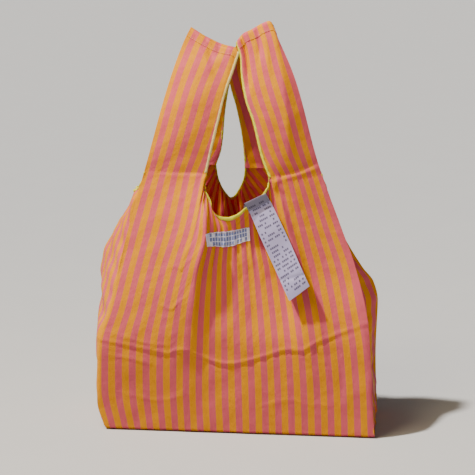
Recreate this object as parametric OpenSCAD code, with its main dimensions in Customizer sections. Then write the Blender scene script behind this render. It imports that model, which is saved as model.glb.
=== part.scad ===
// Folding T-shirt-style shopping bag in thin striped cloth, standing open on its base.
// X is to the right, Y to the back and Z up. The origin is the middle of the base, on the floor.

/* [Body] */
// Width of the front, between its two creases
body_w = 390; // [300:5:450]
// Depth of the base, between front and back
body_d = 150; // [110:5:180]
// Height at which front and back start to lean together
fold_h = 155; // [130:5:170]
// Furthest that a side pleat stands out from the middle
side_reach = 200; // [200:1:260]
// Height at which the front and back end and the handles begin
shoulder_h = 374; // [370:1:378]

/* [Handles] */
// Height of the line that the handles swing about
swing_h = 415; // [415:1:420]
// Height at which the leaning front and back would meet
meet_h = 600; // [592:1:625]
// Height of the top seams, from the folded edge to the raw end
seam_h = 12; // [8:1:16]
// Gap between the handles' roots and the body
root_gap = 1.5; // [1:0.5:3]

/* [Neck] */
// Half of the neck's width
neck_r = 46; // [42:1:46]
// Middle of the neck, left to right
neck_x = -2; // [-4:1:0]
// Height of the neck's middle
neck_h = 365; // [362:1:368]
// Rise of the neckline to the right, per millimetre
neck_skew = 0.25; // [0:0.05:0.3]

/* [Cloth and trim] */
// Thickness of one layer of cloth, with its air
cloth_t = 1; // [0.6:0.1:1.2]
// Width of the bound edges
binding_w = 5; // [4:0.5:7]
// Thickness of the bound edges
binding_t = 2.6; // [2.6:0.1:3]
// Length of one stitch
stitch_l = 2.6; // [2:0.2:4]
// Distance from one stitch to the next
stitch_pitch = 5; // [4:0.5:8]

/* [Labels] */
// Width and height of the woven label
woven_size = [60, 19]; // [40:80]
// Middle of the woven label, across and up
woven_at = [-12, 287]; // [-20:290]
// Width and length of the care label
care_size = [36, 146]; // [30:150]
// Middle of the fold that the care label hangs from, across and up
care_at = [26, 341]; // [20:345]
// Lean of the care label from upright
care_lean = 27; // [20:35]
// Thickness of both labels
label_t = 0.6; // [0.4:0.1:0.8]

/* [Hidden] */
$fn = 64;

cloth_colour = "orange";
lining_colour = "hotpink";
binding_colour = "yellow";
thread_colour = "khaki";
label_colour = "ghostwhite";

half_w = body_w / 2;
half_d = body_d / 2;
lean = atan(half_d / (meet_h - fold_h));
clear = 0.3;

// Corners of the handles in front view: [across, up].
// outer: swing line and top; inner: shoulder, swing line and top.
left_outer = [[-125, swing_h], [-76, 579]];
left_inner = [[-47, swing_h], [-47, swing_h], [-6, 546]];
right_outer = [[108, swing_h], [42, 589]];
right_inner = [[44, shoulder_h], [28, swing_h], [-5, 563]];

// Side pleats: rows from the base up, each [front crease, pleat, back crease] as [across, up].
notch_h = 353;
left_pleat = [
    [[-half_w, 0], [-half_w, 0], [-half_w, 0]],
    [[-half_w, fold_h], [-side_reach, fold_h], [-half_w, fold_h]],
    [[crease_x(-1, 270), 270], [-side_reach, 270], [crease_x(-1, 270), 270]],
    [[crease_x(-1, shoulder_h), shoulder_h], [-154, notch_h], [crease_x(-1, shoulder_h), shoulder_h]],
];
right_pleat = [
    [[half_w, 0], [half_w, 0], [half_w, 0]],
    [[half_w, fold_h], [half_w - 20, fold_h], [half_w, fold_h]],
    [[crease_x(1, 205), 205], [half_w - 30, 205], [side_reach, 205]],
    [[crease_x(1, 290), 290], [half_w - 50, 290], [crease_x(1, 290), 290]],
    [[crease_x(1, shoulder_h), shoulder_h], [128, notch_h], [crease_x(1, shoulder_h), shoulder_h]],
];

// Across position of the front's side crease at height z; side is -1 on the left, 1 on the right.
function crease_x(side, z) =
    let (top = side < 0 ? left_outer[0] : right_outer[0])
    side * half_w + (top[0] - side * half_w) * (z - fold_h) / (top[1] - fold_h);

// Outer face of the front at height z.
function front_y(z) = z <= fold_h ? -half_d : -half_d + (z - fold_h) * tan(lean);

// Distance up the leaning cloth, from the fold, for height z.
function slant(z) = (z - fold_h) / cos(lean);
function slanted(points) = [for (p = points) [p[0], slant(p[1])]];

// Neckline of the front, grown outwards by g, from its left end round the bottom to its right end.
function neckline(g) = [
    for (a = [180:7.5:360])
        let (x = (neck_r + g) * cos(a))
        [neck_x + x, neck_h + (neck_r + g) * sin(a) + neck_skew * x]
];

// The cut that leaves the neck open, up past the shoulders.
function neck_cut(g) = concat(neckline(g), [for (side = [1, -1]) [neck_x + side * (neck_r + g), swing_h]]);

// A leaning plate from y0 to y1 behind the cloth's outer face; children are drawn across and up the slant.
module leaning(y0, y1) {
    translate([0, -half_d, fold_h])
        rotate([-lean, 0, 0])
            translate([0, y1, 0])
                rotate([90, 0, 0])
                    linear_extrude(y1 - y0)
                        children();
}

module to_back() { mirror([0, 1, 0]) children(); }

// A sheet over rows of points, given a thickness along the vector t.
module sheet(rows, t) {
    m = len(rows[0]);
    n = len(rows);
    outer = [for (row = rows) for (p = row) p];
    points = concat(outer, [for (p = outer) p + t]);
    k = m * n;
    rim = concat(
        [for (j = [0:m - 1]) j],
        [for (i = [1:n - 1]) i * m + m - 1],
        [for (j = [m - 2:-1:0]) (n - 1) * m + j],
        [for (i = [n - 2:-1:1]) i * m]
    );
    quads = [for (i = [0:n - 2]) for (j = [0:m - 2]) [i * m + j, i * m + j + 1, i * m + m + j + 1, i * m + m + j]];
    face = [for (q = quads) each [[q[0], q[1], q[2]], [q[0], q[2], q[3]]]];
    back = [for (f = face) [f[2] + k, f[1] + k, f[0] + k]];
    side = [
        for (i = [0:len(rim) - 1])
            let (a = rim[i], b = rim[(i + 1) % len(rim)])
            each [[b, a, a + k], [b, a + k, b + k]]
    ];
    polyhedron(points, concat(face, back, side));
}

// ---- body ----

module panel_shape(side_crease) {
    difference() {
        polygon(slanted([
            [-half_w, fold_h], [half_w, fold_h], side_crease,
            [crease_x(1, shoulder_h), shoulder_h], [crease_x(-1, shoulder_h), shoulder_h],
        ]));
        polygon(slanted(neck_cut(binding_w)));
    }
}

module panel(side_crease) {
    translate([-half_w, -half_d, 0]) cube([body_w, cloth_t, fold_h + cloth_t / 2]);
    leaning(0, cloth_t) panel_shape(side_crease);
}

module front_panel() { color(cloth_colour) panel([crease_x(1, 205), 205]); }
module back_panel() { color(cloth_colour) to_back() panel([crease_x(1, 205), 205]); }

// A side pleat between the inner faces of front and back.
function pleat_rows(rows) = [
    for (r = rows)
        let (y = front_y(r[0][1]) + cloth_t / cos(lean) + clear)
        [[r[0][0], y, r[0][1]], [r[1][0], 0, r[1][1]], [r[2][0], -y, r[2][1]]]
];

module left_gusset() { color(cloth_colour) sheet(pleat_rows(left_pleat), [cloth_t, 0, 0]); }
module right_gusset() { color(cloth_colour) sheet(pleat_rows(right_pleat), [-cloth_t, 0, 0]); }

// The bound top edge of a side pleat.
module pleat_binding(rows, t) {
    top = pleat_rows(rows)[len(rows) - 1];
    low = [for (p = top) p + [-t / 2, 0, clear / 3]];
    sheet([low, [for (p = low) p + [0, 0, binding_w]]], [2 * t, 0, 0]);
}

module left_gusset_binding() { color(binding_colour) pleat_binding(left_pleat, cloth_t); }
module right_gusset_binding() { color(binding_colour) pleat_binding(right_pleat, -cloth_t); }

tack = [2.4, 12, 2];
module bar_tack(rows, side) {
    p = rows[len(rows) - 1][1];
    translate([p[0] + side * (cloth_t + tack[0] / 2), 0, p[1] - tack[2] - 1])
        cube(tack, center = true);
}

module left_gusset_bar_tack() { color(thread_colour) bar_tack(left_pleat, -1); }
module right_gusset_bar_tack() { color(thread_colour) bar_tack(right_pleat, 1); }

seam_fold = 9;
seam_t = 1.2;
inner_w = half_w - cloth_t - clear;
inner_d = half_d - cloth_t - clear;

module base_panel() {
    color(cloth_colour)
        translate([-inner_w, -inner_d, 0]) cube([2 * inner_w, 2 * inner_d, cloth_t]);
}

module base_seam() {
    length = 2 * (inner_w - seam_fold - 1);
    color(lining_colour)
        translate([-length / 2, -seam_fold / 2, cloth_t]) cube([length, seam_fold, seam_t]);
}

module corner_seam() {
    color(lining_colour)
        translate([inner_w - seam_fold, 2 - inner_d, cloth_t]) cube([seam_fold, 2 * inner_d - 4, seam_t]);
}

module left_base_corner_seam() { mirror([1, 0, 0]) corner_seam(); }
module right_base_corner_seam() { corner_seam(); }

// The neck's bound edge wraps the cloth: it stands proud of both of its faces.
binding_y = [(cloth_t - binding_t) / 2, (cloth_t + binding_t) / 2];

module neck_binding() {
    leaning(binding_y[0], binding_y[1])
        intersection() {
            difference() {
                polygon(slanted(neck_cut(binding_w)));
                polygon(slanted(neck_cut(0)));
            }
            translate([-half_w, 0]) square([body_w, slant(shoulder_h)]);
        }
}

module front_neck_binding() { color(binding_colour) neck_binding(); }
module back_neck_binding() { color(binding_colour) to_back() neck_binding(); }

// ---- labels ----

module on_front(at, turn = 0) {
    translate([at[0], slant(at[1])]) rotate(turn) children();
}

module woven_label() {
    color(label_colour)
        leaning(-label_t, 0) on_front(woven_at) square(woven_size, center = true);
}

module woven_label_stitching() {
    rows = floor(woven_size[1] / stitch_pitch);
    color(thread_colour)
        leaning(-label_t - 0.2, cloth_t + 0.2)
            on_front(woven_at)
                for (side = [-1, 1], i = [0:rows - 1])
                    translate([side * (woven_size[0] / 2 - 2), (i - (rows - 1) / 2) * stitch_pitch])
                        square([0.6, stitch_l], center = true);
}

care_y = binding_y[0] - 1.2;
tail_l = 26;

module care_label() {
    color(label_colour)
        leaning(care_y - label_t, care_y)
            on_front(care_at, care_lean)
                translate([-care_size[0] / 2, -care_size[1]]) square(care_size);
}

module care_label_tail() {
    color(label_colour)
        leaning(binding_y[1], binding_y[1] + label_t)
            on_front(care_at, care_lean)
                translate([-care_size[0] / 2, -tail_l]) square([care_size[0], tail_l]);
}

module care_label_stitching() {
    count = floor(care_size[0] / stitch_pitch);
    color(thread_colour)
        leaning(binding_y[0] - 0.2, binding_y[1] + label_t + 0.2)
            on_front(care_at, care_lean)
                for (i = [0:count - 1])
                    translate([(i - (count - 1) / 2) * stitch_pitch, -16])
                        square([stitch_l, 0.6], center = true);
}

// ---- handles ----

root_h = shoulder_h + root_gap;

// Where a strap meets its top seam: p is the seam's end on the folded edge.
function seam_low(p) = [p[0], p[1] - seam_h];

// Point at x on the line through p and q.
function on_line(p, q, x) = [x, p[1] + (q[1] - p[1]) * (x - p[0]) / (q[0] - p[0])];

// Outline of a strap with its rounded root, without the bound inner edge.
module strap_shape(outer, inner) {
    side = sign(outer[0][0]);
    mid = (outer[0][0] + inner[1][0]) / 2;
    lap = 1;
    root_r = abs(outer[0][0] - mid) * cos(15);
    edge = [for (p = inner) [p[0] + side * binding_w, p[1]]];
    polygon(slanted([
        [mid, root_h], [edge[0][0], root_h], edge[1],
        seam_low(on_line(outer[1], inner[2], edge[2][0])), seam_low(outer[1]),
        outer[0], [mid, swing_h],
    ]));
    translate([mid, slant(swing_h)])
        intersection() {
            circle(root_r);
            translate([side > 0 ? -lap : lap - body_w, -body_w]) square([body_w, body_w + lap]);
        }
}

// The bound inner edge of a strap.
module strap_edge_shape(outer, inner) {
    side = sign(outer[0][0]);
    edge = [[inner[0][0], root_h], inner[1], seam_low(inner[2])];
    back = [for (p = edge) [p[0] + side * binding_w, p[1]]];
    top = seam_low(on_line(outer[1], inner[2], back[2][0]));
    polygon(slanted(concat(edge, [top, back[1], back[0]])));
}

// The folded seam that joins the tops of the front and back straps.
module handle_seam(outer, inner) {
    ends = [seam_low(outer), seam_low(inner)];
    low = [for (p = ends) each [[p[0], front_y(p[1]), p[1] + 0.1], [p[0], -front_y(p[1]), p[1] + 0.1]]];
    top = [for (p = [outer, inner]) each [[p[0], -cloth_t, p[1]], [p[0], cloth_t, p[1]]]];
    hull() polyhedron(concat(low, top), [
        [0, 1, 3, 2], [4, 6, 7, 5], [0, 4, 5, 1], [2, 3, 7, 6], [0, 2, 6, 4], [1, 5, 7, 3],
    ]);
}

// Stitches through the top seam, a little above its raw end.
module handle_topstitch(outer, inner) {
    run = inner - outer;
    count = floor(norm(run) / stitch_pitch) - 1;
    for (i = [1:count]) {
        p = outer + run * i / (count + 1) - [0, seam_h - 1.5];
        translate([p[0], 0, p[1]])
            rotate([0, -atan2(run[1], run[0]), 0])
                cube([stitch_l, -2 * front_y(p[1]) + 0.6, 0.6], center = true);
    }
}

module strap(outer, inner) { leaning(0, cloth_t) strap_shape(outer, inner); }
module lining(outer, inner) { leaning(cloth_t, 2 * cloth_t) strap_shape(outer, inner); }
module edge(outer, inner) { leaning(binding_y[0], binding_y[1] + cloth_t) strap_edge_shape(outer, inner); }

module left_front_strap() { color(cloth_colour) strap(left_outer, left_inner); }
module left_back_strap() { color(cloth_colour) to_back() strap(left_outer, left_inner); }
module left_front_strap_lining() { color(lining_colour) lining(left_outer, left_inner); }
module left_back_strap_lining() { color(lining_colour) to_back() lining(left_outer, left_inner); }
module left_front_strap_binding() { color(binding_colour) edge(left_outer, left_inner); }
module left_back_strap_binding() { color(binding_colour) to_back() edge(left_outer, left_inner); }
module left_handle_seam() { color(cloth_colour) handle_seam(left_outer[1], left_inner[2]); }
module left_handle_topstitch() { color(thread_colour) handle_topstitch(left_outer[1], left_inner[2]); }

module right_front_strap() { color(cloth_colour) strap(right_outer, right_inner); }
module right_back_strap() { color(cloth_colour) to_back() strap(right_outer, right_inner); }
module right_front_strap_lining() { color(lining_colour) lining(right_outer, right_inner); }
module right_back_strap_lining() { color(lining_colour) to_back() lining(right_outer, right_inner); }
module right_front_strap_binding() { color(binding_colour) edge(right_outer, right_inner); }
module right_back_strap_binding() { color(binding_colour) to_back() edge(right_outer, right_inner); }
module right_handle_seam() { color(cloth_colour) handle_seam(right_outer[1], right_inner[2]); }
module right_handle_topstitch() { color(thread_colour) handle_topstitch(right_outer[1], right_inner[2]); }

front_panel();
back_panel();
left_gusset();
right_gusset();
base_panel();
base_seam();
left_base_corner_seam();
right_base_corner_seam();
front_neck_binding();
back_neck_binding();
left_gusset_binding();
right_gusset_binding();
left_gusset_bar_tack();
right_gusset_bar_tack();
woven_label();
woven_label_stitching();
care_label();
care_label_tail();
care_label_stitching();
left_front_strap();
left_back_strap();
left_front_strap_lining();
left_back_strap_lining();
left_front_strap_binding();
left_back_strap_binding();
left_handle_seam();
left_handle_topstitch();
right_front_strap();
right_back_strap();
right_front_strap_lining();
right_back_strap_lining();
right_front_strap_binding();
right_back_strap_binding();
right_handle_seam();
right_handle_topstitch();
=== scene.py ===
"""Striped folding shopping bag: cloth, bound edges, stitching and labels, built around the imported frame."""
import math

import bpy
import numpy as np
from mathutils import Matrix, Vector
from mathutils.bvhtree import BVHTree


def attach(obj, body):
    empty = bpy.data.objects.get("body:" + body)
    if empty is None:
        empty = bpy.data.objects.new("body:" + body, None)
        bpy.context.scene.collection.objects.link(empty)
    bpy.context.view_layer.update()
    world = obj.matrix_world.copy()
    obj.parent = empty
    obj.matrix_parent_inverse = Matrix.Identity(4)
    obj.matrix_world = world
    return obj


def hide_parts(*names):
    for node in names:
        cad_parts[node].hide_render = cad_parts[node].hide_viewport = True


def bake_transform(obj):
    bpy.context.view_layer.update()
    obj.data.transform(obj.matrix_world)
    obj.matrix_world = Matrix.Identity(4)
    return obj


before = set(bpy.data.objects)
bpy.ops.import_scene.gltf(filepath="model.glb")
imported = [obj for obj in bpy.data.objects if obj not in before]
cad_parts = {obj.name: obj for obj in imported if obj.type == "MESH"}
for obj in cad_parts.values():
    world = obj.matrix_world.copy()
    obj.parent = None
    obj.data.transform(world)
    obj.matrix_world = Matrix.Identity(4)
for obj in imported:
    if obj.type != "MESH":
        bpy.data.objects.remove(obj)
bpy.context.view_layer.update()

# Lengths in the cloth code are in millimetres and become metres when a mesh is made.
MM = 0.001
BAG, LEFT, RIGHT, CARE = "bag", "left_handle", "right_handle", "care_label"

# Cloth coordinates: u across from the middle of a panel, v up from the edge of the base.
STRIPE = 9.5
HALF = 198.0            # half of a panel's cut width
PLEAT = 75.0            # cut width of half a side pleat
SPLIT_V = 390.0         # where the handles leave the body
TOP_V = 606.0           # top edges of the handles
NECK_V = 328.0          # lowest point of the neckline's cut
NECK_FLAT = 55.0        # half width of the neckline's level stretch
INNER_KNOTS = [SPLIT_V, 425, 480, TOP_V]
INNER_EDGE = [100.0, 106, 111, 114]
STRAP_COLS, NECK_COLS = 32, 64
BODY_ROWS, STRAP_ROWS = 160, 88
CLOTH_T = 0.4           # thickness of the cloth
LOW = BODY_ROWS + 1     # rows of a panel's body
NECK_START, NECK_END = STRAP_COLS, STRAP_COLS + NECK_COLS       # columns where the neckline starts and ends

# Where the front's threads stand at a few heights, and the shape of its folds by the neck.
HEIGHTS = [0, 60, 132, 184, 241, 300]
THREADS = [-HALF, -88, -51, -14, 23, 96, 115, HALF]
ACROSS = [
    [-195, -89, -53, -16, 21, 94, 113, 196],
    [-207, -91, -55, -18, 20, 92, 111, 193],
    [-204, -89, -53, -19, 17, 87, 105, 187],
    [-188, -83, -51, -20, 13, 79, 97, 177],
    [-175, -72, -46, -21, 8, 67, 84, 164],
    [-161, -57, -38, -19, 3, 52, 69, 141],
]
FOLD_THREADS = [-HALF, -140, -100, -70, -56, -40, -14, 10, 30, 60, 84, 112, 150, HALF]
FOLD_DEPTHS = [0, -10, -18, -22, -11, -4, 2, 7, 11, 15, 19, -2, 0, 0]
NECK_FORWARD = 6.0      # how far the slack middle of the front hangs forward
LEFT_CREASE = [
    (-195, -75, 0), (-207, -75, 43), (-204, -75, 141), (-188, -71, 181), (-164, -53, 285),
    (-139, -37, 379), (-84, -6, 563), (-76, -4, 579),
]
RIGHT_CREASE = [
    (196, -75, 0), (194, -75, 30), (190, -73, 98), (184, -65, 167), (164, -42, 245), (140, -32, 307),
    (110, -25, 387), (73, -12, 512), (42, -5, 579),
]
LEFT_INNER = [(-50, 376), (-42, 415), (-36, 444), (-27, 484), (-14, 520), (-6, 545)]
RIGHT_INNER = [(40, 372), (29, 401), (16, 451), (6, 478), (-1, 511), (-3, 538), (-10, 559)]
LEFT_TOP = [(-76, 579), (-54, 565.5), (-28, 554), (-12, 550), (-6, 545)]
RIGHT_TOP = [(42, 579), (36, 588.5), (24, 584), (10, 576), (-3, 569), (-10, 559)]
FRONT_NECK = [
    (-50, 376), (-52, 366), (-51, 354), (-44, 339), (-40, 325), (-31, 316), (-19, 314), (-6, 318),
    (7, 328), (33, 349), (39, 361), (40, 372),
]
STORAGE_CREASE_U = [-HALF, -123, -60, -20, 20, 60, 86, 104, 124, 160, HALF]
STORAGE_CREASE_V = [141, 126, 112, 109, 112, 117, 123, 134, 145, 157, 168]

# The back: its side creases, its handles' inner edges and its neckline.
BACK_LEFT_CREASE = [
    (-195, 75, 0), (-200, 75, 80), (-199, 74, 150), (-176, 58, 240), (-139, 37, 376), (-84, 8, 563),
    (-76, 4, 579),
]
BACK_RIGHT_CREASE = [
    (196, 75, 0), (193, 74, 93), (195, 70, 168), (188, 66, 198), (172, 60, 220), (133, 50, 290),
    (102, 36, 376), (84, 26, 440), (60, 13, 512), (42, 5, 579),
]
BACK_LEFT_INNER = [(-46, 376), (-38, 400), (-31, 460), (-22, 505), (-14, 526), (-6, 545)]
BACK_RIGHT_INNER = [(-2, 372), (-4.5, 410), (-13, 461), (-21, 493), (-24, 514), (-16, 542), (-10, 559)]
BACK_NECK = [(-46, 376), (-43, 356), (-36, 338), (-24, 324), (-11, 339), (-4, 356), (-2, 372)]

STRAP_BOW = 15.0        # how far the handles bow away from the middle
UNDER = 11.0            # height over which the lower edges curl under
FOLD_H = 155.0          # height above which the front and back lean together
LEAN = 75.0 / 445.0     # how fast they lean
PUCKER = 34.0           # how far the small puckers reach down from the neckline
HOLD_BODY, HOLD_HANDLE, HOLD_GUSSET = 0.012, 0.06, 0.02         # how firmly cloth stays by its guide
PANEL_ROUNDS, GUSSET_ROUNDS = 160, 120                          # rounds of relaxing
WOVEN_SIZE = (60.0, 19.0)
WOVEN_LEFT, WOVEN_RIGHT, WOVEN_BASE = -46.0, 12.5, 277.8
CARE_SIZE = (36.0, 146.0)
CARE_AT, CARE_LEAN = (21.5, 343.5), 26.7
CARE_FOLD = 13.0        # height of its shaded top, where it comes over the neck
CARE_TAIL = 16.0        # length sewn inside the neck
WOVEN_T, CARE_T, CAP_T = 0.35, 0.3, 0.5         # thickness of the labels and of the handles' folded tops

# Width and thickness of the bound edges and rolled seams.
NECK_EDGE, NOTCH_EDGE, STRAP_EDGE = (5.6, 2.8), (4.2, 2.2), (4.0, 2.4)
BASE_ROLL, CORNER_ROLL = (4.2, 1.9), (3.0, 1.4)


# ---- curves and grids ----

def arc_lengths(points):
    steps = np.linalg.norm(np.diff(points, axis=0), axis=1)
    return np.concatenate([[0.0], np.cumsum(steps)])


def sampled(at, length, points):
    """Points on a polyline at these lengths along it."""
    return np.stack([np.interp(at, length, points[:, k]) for k in range(points.shape[1])], axis=-1)


def spline(t, knots, values):
    """A smooth curve through values at rising knots, without overshoot, at t. Values may be vectors."""
    t, knots, values = (np.asarray(a, float) for a in (t, knots, values))
    shape = values.shape[1:]
    values = values.reshape(len(knots), -1)
    h = np.diff(knots)[:, None]
    d = np.diff(values, axis=0) / h
    m = np.empty_like(values)
    m[0], m[-1] = d[0], d[-1]
    before, after = 2 * h[1:] + h[:-1], h[1:] + 2 * h[:-1]
    same = d[:-1] * d[1:] > 0
    total = before / np.where(same, d[:-1], 1) + after / np.where(same, d[1:], 1)
    m[1:-1] = np.where(same, (before + after) / np.where(same, total, 1), 0)
    i = np.clip(np.searchsorted(knots, t.ravel(), side="right") - 1, 0, len(knots) - 2)
    s = (np.clip(t.ravel(), knots[0], knots[-1]) - knots[i])[:, None] / h[i]
    out = (1 + 2 * s) * (1 - s) ** 2 * values[i] + s * (1 - s) ** 2 * h[i] * m[i]
    out += s * s * (3 - 2 * s) * values[i + 1] + s * s * (s - 1) * h[i] * m[i + 1]
    return out.reshape(t.shape + shape)


def along(points, share):
    """Points at these shares of the length of a smooth curve through points."""
    points = np.asarray(points, float)
    length = arc_lengths(points)
    fine = spline(np.linspace(0, length[-1], 400), length, points)
    length = arc_lengths(fine)
    return sampled(np.asarray(share, float) * length[-1], length, fine)


def smooth_step(x, a, b):
    t = np.clip((np.asarray(x, float) - a) / (b - a), 0, 1)
    return t * t * (3 - 2 * t)


def bell(x, width, power=2):
    """1 at x = 0, falling away at both sides."""
    return np.exp(-(x / width) ** power)


def noise(uv, seed, shortest, longest, waves=7):
    """Smooth noise over the cloth, about -1 to 1, summed from waves of these lengths."""
    rng = np.random.default_rng(seed)
    u, v = uv[..., 0], uv[..., 1]
    total = np.zeros(u.shape)
    for _ in range(waves):
        length = rng.uniform(shortest, longest)
        angle, phase = rng.uniform(0, math.pi), rng.uniform(0, 2 * math.pi)
        total += np.sin((u * math.cos(angle) + v * math.sin(angle)) * 2 * math.pi / length + phase)
    return total / math.sqrt(waves)


def panel_y(z):
    """Depth of the plain front at height z."""
    return -75.0 + np.maximum(np.asarray(z, float) - FOLD_H, 0) * LEAN


def in_depth(outline, side):
    """Front-view points (x, z) placed on the front (side -1) or back (side 1)."""
    outline = np.asarray(outline, float)
    return np.stack([outline[:, 0], -side * panel_y(outline[:, 1]), outline[:, 1]], axis=1)


def front_neckline():
    """The front neckline in depth: its middle hangs forward of the plain front."""
    line = in_depth(FRONT_NECK, -1)
    low, high = line[:, 2].min(), line[:, 2].max()
    line[:, 1] -= NECK_FORWARD * (1 - smooth_step(line[:, 2], low + 8, high - 6))
    return line


# ---- the cut of the cloth ----

def cut_line(u):
    """Height on the cloth where the body ends: the neckline in the middle, the split by the handles."""
    t = np.clip((np.abs(u) - NECK_FLAT) / (INNER_EDGE[0] - NECK_FLAT), 0, 1)
    return NECK_V + (SPLIT_V - NECK_V) * t ** 2.6


def below_cut(uv):
    """How far each point of a panel's cut lies below the body's upper edge."""
    return cut_line(uv[0, :, 0]) - uv[..., 1]


def panel_cut():
    """Cloth coordinates of a panel's grid, rows from the base up, and a mask of where there is cloth."""
    strap = np.linspace(HALF, INNER_EDGE[0], STRAP_COLS + 1)
    neck = np.linspace(-INNER_EDGE[0], INNER_EDGE[0], NECK_COLS + 1)
    u = np.concatenate([-strap[:-1], neck, strap[::-1][1:]])
    level = np.linspace(0, 1, LOW)[:, None] * SPLIT_V
    squeezed = FOLD_H + (level - FOLD_H) / (SPLIT_V - FOLD_H) * (cut_line(u) - FOLD_H)
    body_v = np.where(level < FOLD_H, level, squeezed)
    top_v = np.linspace(SPLIT_V, TOP_V, STRAP_ROWS + 1)[1:, None]
    inner = spline(top_v, INNER_KNOTS, INNER_EDGE)
    right_u = inner + (HALF - inner) * np.linspace(0, 1, STRAP_COLS + 1)
    gap = np.zeros((STRAP_ROWS, NECK_COLS - 1))
    top_u = np.concatenate([-right_u[:, ::-1], gap, right_u], axis=1)
    body = np.stack([np.broadcast_to(u, body_v.shape), body_v], axis=2)
    top = np.stack([top_u, np.broadcast_to(top_v, top_u.shape)], axis=2)
    uv = np.concatenate([body, top])
    live = np.ones(uv.shape[:2])
    live[LOW:, NECK_START + 1:NECK_END] = 0
    return uv, live


# ---- guide surfaces ----

def handle_guide(crease, inner, top, side):
    """A handle's rows of points from the split up, outer edge first, between its edges and its top line."""
    rise = np.linspace(0, 1, STRAP_ROWS + 1)
    outer = along(crease, np.linspace(SPLIT_V / TOP_V, 1, 12))
    a, b = along(outer, rise), along(inner, rise)
    share = np.linspace(0, 1, STRAP_COLS + 1)
    t = share[None, :, None]
    strap = a[:, None] * (1 - t) + b[:, None] * t
    near_top = smooth_step(np.linspace(SPLIT_V, TOP_V, STRAP_ROWS + 1), TOP_V - 70, TOP_V)[:, None, None]
    strap = strap + (along(in_depth(top, side), share) - strap[-1])[None] * near_top
    bow = STRAP_BOW * np.sin(math.pi * rise)[:, None] * np.sin(math.pi * (0.12 + 0.76 * share))
    strap[..., 1] += side * bow
    return strap


def panel_guide(uv, creases, inners, neck, across, depth, side):
    """Where a panel's grid hangs before it is relaxed. side is -1 for the front and 1 for the back."""
    rows, cols = uv.shape[:2]
    p = np.zeros((rows, cols, 3))
    creases = [np.asarray(crease, float) for crease in creases]
    inners = [in_depth(inner, side) for inner in inners]
    u, v = uv[0, :, 0], uv[:LOW, :, 1]
    ends = along(neck, np.clip((u - u[NECK_START]) / (u[NECK_END] - u[NECK_START]), 0, 1))
    outwards = (np.abs(u) - INNER_EDGE[0]) / (HALF - INNER_EDGE[0])
    for crease, inner, half in zip(creases, inners, (u < 0, u > 0)):
        on_handle = half & (outwards > 0)
        start = along(crease, [SPLIT_V / TOP_V])[0]
        ends[on_handle] = inner[0] + outwards[on_handle, None] * (start - inner[0])
    z = np.asarray(HEIGHTS, float)
    for j in range(1, cols - 1):
        column = np.stack([across(u[j], z), depth(u[j], z), z], axis=1)
        column = np.concatenate([column, ends[j:j + 1]])
        length = arc_lengths(column)
        p[:LOW, j] = spline(v[:, j] * length[-1] / v[-1, j], length, column)
    for j, crease, inner, top in zip((0, -1), creases, inners, (LEFT_TOP, RIGHT_TOP)):
        p[:LOW, j] = along(crease, v[:, j] / TOP_V)
        columns = slice(0, STRAP_COLS + 1) if j == 0 else slice(cols - 1, cols - STRAP_COLS - 2, -1)
        p[BODY_ROWS:, columns] = handle_guide(crease, inner, top, side)
    return p


# ---- relaxing the cloth ----

def neighbours(di, dj):
    """Two slices of a grid that pair each point with the one di rows and dj columns away."""
    def ends(d):
        low, high = slice(None, -abs(d) or None), slice(abs(d) or None, None)
        return (low, high) if d >= 0 else (high, low)
    (i0, i1), (j0, j1) = ends(di), ends(dj)
    return (i0, j0), (i1, j1)


def pull(pa, pb, wa, wb, rest, stiffness):
    """Moves paired points towards their rest distance, each by its share of the weight."""
    gap = pb - pa
    length = np.sqrt(np.einsum("ijk,ijk->ij", gap, gap))
    k = np.where(rest > 0, stiffness, 0) / np.maximum(wa + wb, 1e-9)
    move = ((length - rest) / np.maximum(length, 1e-6) * k)[..., None] * gap
    pa += wa[..., None] * move
    pb -= wb[..., None] * move


# Links between points of the grid: rows apart, columns apart, and stiffness.
LINKS = [(2, 0, 0.1), (0, 2, 0.1), (1, -1, 0.3), (1, 1, 0.3), (1, 0, 0.9), (0, 1, 0.9)]


def relax(p, flat, free, hold, rounds, live, slack):
    """Settles a grid of cloth: it keeps the cut's lengths, resists bending, and stays near where it began.
    flat is the cut with its gathers taken up, free is 0 where the cloth is held, hold is how firmly the
    rest stays, and slack is how much of the cut's spare length across shows as folds."""
    p, start = p.copy(), p
    w = free * live
    links = []
    for di, dj, stiffness in LINKS:
        a, b = neighbours(di, dj)
        guide = np.linalg.norm(start[b] - start[a], axis=2)
        spare = np.linalg.norm(flat[b] - flat[a], axis=2) - guide
        loose = (slack[a] + slack[b]) / 2 if dj else 0.0
        rest = (guide + spare * loose) * live[a] * live[b]
        step = max(abs(di), abs(dj))
        for first in range(2 * step):
            every = slice(first, None, 2 * step)
            pick = (every, slice(None)) if di else (slice(None), every)
            links.append((p[a][pick], p[b][pick], w[a][pick], w[b][pick], rest[pick], stiffness))
    for _ in range(rounds):
        p += (start - p) * (hold * w)[..., None]
        for link in links:
            pull(*link)
    return p


# ---- making meshes ----

def grid_faces(rows, cols):
    """Quads of a grid of points counted row by row."""
    i, j = np.meshgrid(np.arange(rows - 1), np.arange(cols - 1), indexing="ij")
    a = (i * cols + j).ravel()
    return np.stack([a, a + 1, a + cols + 1, a + cols], axis=1)


def grid_normals(p, live=None):
    """Normals of a grid of points, from its faces that have cloth at all four corners."""
    rows, cols = p.shape[:2]
    flat = p.reshape(-1, 3)
    faces = grid_faces(rows, cols)
    if live is not None:
        faces = faces[live.ravel()[faces].all(axis=1)]
    n = np.cross(flat[faces[:, 2]] - flat[faces[:, 0]], flat[faces[:, 3]] - flat[faces[:, 1]])
    total = np.zeros_like(flat)
    for k in range(4):
        np.add.at(total, faces[:, k], n)
    total /= np.maximum(np.linalg.norm(total, axis=1, keepdims=True), 1e-9)
    return total.reshape(p.shape)


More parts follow.
